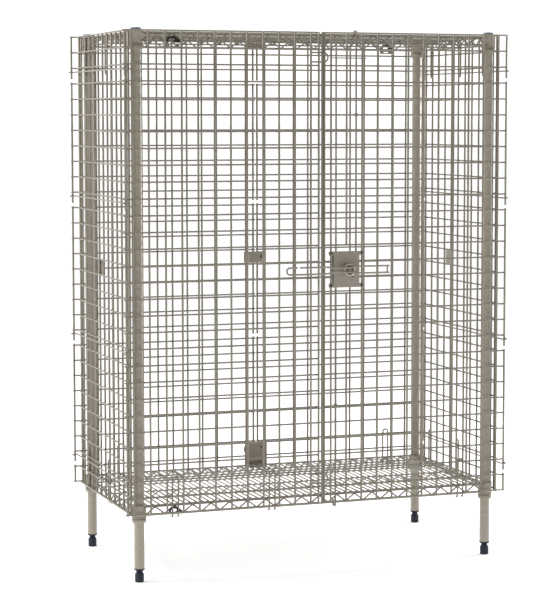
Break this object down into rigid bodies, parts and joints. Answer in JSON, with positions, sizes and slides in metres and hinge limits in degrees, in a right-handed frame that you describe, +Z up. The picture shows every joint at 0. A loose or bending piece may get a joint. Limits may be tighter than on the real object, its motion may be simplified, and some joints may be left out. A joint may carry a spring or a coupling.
{
  "type": "lockable wire security cage",
  "caption": "Free-standing lockable wire cage: two wire-mesh doors with a rod latch, mesh back and ends, wire shelves at top and bottom, round posts on levelling feet.",
  "frame": {"origin": "on the floor under the middle of the unit's overall width and depth", "axes": "+X to the right facing the doors, -Y towards the person opening the doors, +Z up"},
  "size_m": [1.2868, 0.6979, 1.699],
  "materials": {
    "epoxy": "satin taupe epoxy over steel wire and tube",
    "plate": "satin taupe epoxy over sheet steel and plated wire",
    "cap": "moulded slate-blue plastic",
    "foot": "moulded blue-black plastic",
    "sleeve": "moulded taupe plastic",
    "clip": "black plastic spring clip"
  },
  "bodies": {
    "frame": {"post_front_left": "epoxy", "post_cap_front_left": "cap", "post_insert_front_left": "foot", "sleeve_lower_front_left": "sleeve", "sleeve_upper_front_left": "sleeve", "post_front_right": "epoxy", "post_cap_front_right": "cap", "post_insert_front_right": "foot", "sleeve_lower_front_right": "sleeve", "sleeve_upper_front_right": "sleeve", "post_back_left": "epoxy", "post_cap_back_left": "cap", "post_insert_back_left": "foot", "sleeve_lower_back_left": "sleeve", "sleeve_upper_back_left": "sleeve", "post_back_right": "epoxy", "post_cap_back_right": "cap", "post_insert_back_right": "foot", "sleeve_lower_back_right": "sleeve", "sleeve_upper_back_right": "sleeve", "shelf_lower": "epoxy", "shelf_upper": "epoxy", "shelf_clip_lower": "clip", "shelf_clip_upper": "clip", "back_panel_left": "epoxy", "back_panel_right": "epoxy", "back_splice_upper": "plate", "back_splice_middle": "plate", "back_splice_lower": "plate", "end_panel_left": "epoxy", "end_panel_right": "epoxy", "end_plate_left": "plate", "end_plate_right": "plate", "hook_rod_left_1": "epoxy", "hook_rod_left_2": "epoxy", "hook_rod_left_3": "epoxy", "hook_rod_left_4": "epoxy", "hook_rod_right_1": "epoxy", "hook_rod_right_2": "epoxy", "hook_rod_right_3": "epoxy", "hook_rod_right_4": "epoxy"},
    "foot_front_left": {"foot_front_left": "foot"},
    "foot_front_right": {"foot_front_right": "foot"},
    "foot_back_left": {"foot_back_left": "foot"},
    "foot_back_right": {"foot_back_right": "foot"},
    "door_left": {"door_left": "epoxy", "door_loop_lower": "epoxy", "door_loop_upper": "epoxy"},
    "door_right": {"door_right": "epoxy", "lock_plate": "plate", "lock_back_plate": "plate", "rod_guide_lower": "epoxy", "rod_guide_upper": "epoxy"},
    "handle": {"handle_loop": "plate", "handle_hub": "plate", "lock_spindle": "plate", "lock_cam": "plate"},
    "latch_rod_upper": {"latch_rod_upper": "epoxy"},
    "latch_rod_lower": {"latch_rod_lower": "epoxy"}
  },
  "joints": [
    {"name": "foot_front_left_thread", "type": "slide", "parent": "frame", "child": "foot_front_left", "axis": [0, 0, -1], "range_m": [0, 0.025]},
    {"name": "foot_front_right_thread", "type": "slide", "parent": "frame", "child": "foot_front_right", "axis": [0, 0, -1], "range_m": [0, 0.025]},
    {"name": "foot_back_left_thread", "type": "slide", "parent": "frame", "child": "foot_back_left", "axis": [0, 0, -1], "range_m": [0, 0.025]},
    {"name": "foot_back_right_thread", "type": "slide", "parent": "frame", "child": "foot_back_right", "axis": [0, 0, -1], "range_m": [0, 0.025]},
    {"name": "door_left_hinge", "type": "hinge", "parent": "frame", "child": "door_left", "pos_m": [-0.6335, -0.3086, 0.95], "axis": [0, 0, -1], "range_deg": [0, 260]},
    {"name": "door_right_hinge", "type": "hinge", "parent": "frame", "child": "door_right", "pos_m": [0.6335, -0.3086, 0.95], "axis": [0, 0, 1], "range_deg": [0, 260]},
    {"name": "handle_turn", "type": "hinge", "parent": "door_right", "child": "handle", "pos_m": [0.081, -0.3461, 0.9526], "axis": [0, -1, 0], "range_deg": [0, 90]},
    {"name": "latch_rod_upper_slide", "type": "slide", "parent": "door_right", "child": "latch_rod_upper", "axis": [0, 0, 1], "range_m": [0, 0.032]},
    {"name": "latch_rod_lower_slide", "type": "slide", "parent": "door_right", "child": "latch_rod_lower", "axis": [0, 0, -1], "range_m": [0, 0.032]}
  ],
  "couplings": [
    {"joint": "latch_rod_upper_slide", "follows": "handle_turn", "m_per_rad": 0.02037},
    {"joint": "latch_rod_lower_slide", "follows": "handle_turn", "m_per_rad": 0.02037}
  ]
}
